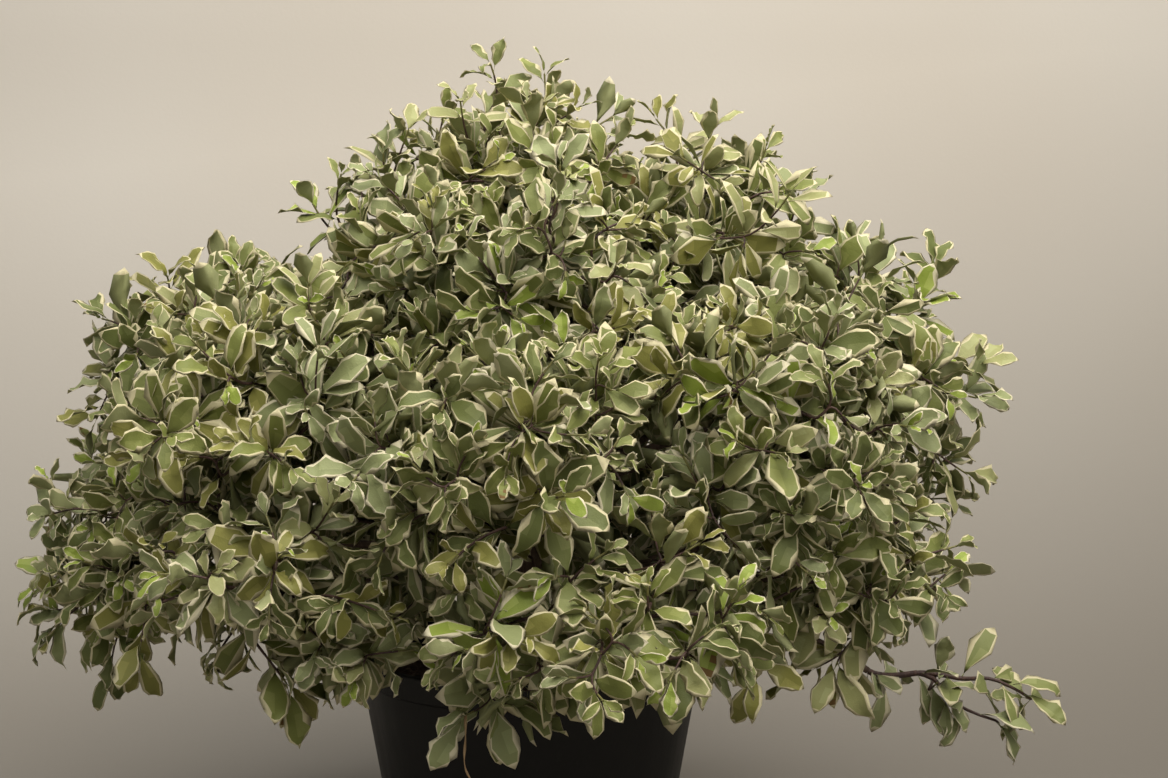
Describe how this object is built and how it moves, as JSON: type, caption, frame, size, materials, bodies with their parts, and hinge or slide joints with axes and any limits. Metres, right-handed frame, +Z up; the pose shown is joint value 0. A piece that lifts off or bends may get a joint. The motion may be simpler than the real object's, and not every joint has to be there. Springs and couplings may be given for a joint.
{
  "type": "potted silver queen pittosporum",
  "caption": "Bushy spreading variegated shrub, grey-green leaves edged in cream, in a tapered round black nursery pot.",
  "frame": {"origin": "middle of the pot's flat underside, which the plant stands on", "axes": "+Z up; -Y towards the front, the side that the picture shows; +X to the right seen from the front"},
  "size_m": [0.8431, 0.7769, 0.6996],
  "materials": {
    "pot_plastic": "satin black, moulded",
    "potting_mix": "loose, dark and fibrous",
    "bark": "thin purple-brown bark",
    "foliage": "leathery, slightly glossy leaves"
  },
  "bodies": {
    "root": {"pot": "pot_plastic", "soil": "potting_mix", "main_stem": "bark", "bough_crown_left": "bark", "bough_crown_right": "bark", "bough_crown_front": "bark", "bough_crown_back": "bark", "bough_shoulder_left": "bark", "bough_shoulder_front_left": "bark", "bough_shoulder_front": "bark", "bough_shoulder_front_right": "bark", "bough_shoulder_right": "bark", "bough_shoulder_back_right": "bark", "bough_shoulder_back": "bark", "bough_shoulder_back_left": "bark", "bough_skirt_left": "bark", "bough_skirt_front_left": "bark", "bough_skirt_front": "bark", "bough_skirt_front_right": "bark", "bough_skirt_right": "bark", "bough_skirt_back": "bark", "bough_skirt_back_left": "bark", "bough_low_spray_right": "bark", "foliage_crown_peak": "foliage", "foliage_crown_left": "foliage", "foliage_crown_right": "foliage", "foliage_crown_front": "foliage", "foliage_crown_back": "foliage", "foliage_shoulder_left": "foliage", "foliage_shoulder_front_left": "foliage", "foliage_shoulder_front": "foliage", "foliage_shoulder_front_right": "foliage", "foliage_shoulder_right": "foliage", "foliage_shoulder_back_right": "foliage", "foliage_shoulder_back": "foliage", "foliage_shoulder_back_left": "foliage", "foliage_skirt_left": "foliage", "foliage_skirt_front_left": "foliage", "foliage_skirt_front": "foliage", "foliage_skirt_front_right": "foliage", "foliage_skirt_right": "foliage", "foliage_skirt_back": "foliage", "foliage_skirt_back_left": "foliage", "foliage_low_spray_right": "foliage"}
  },
  "joints": []
}
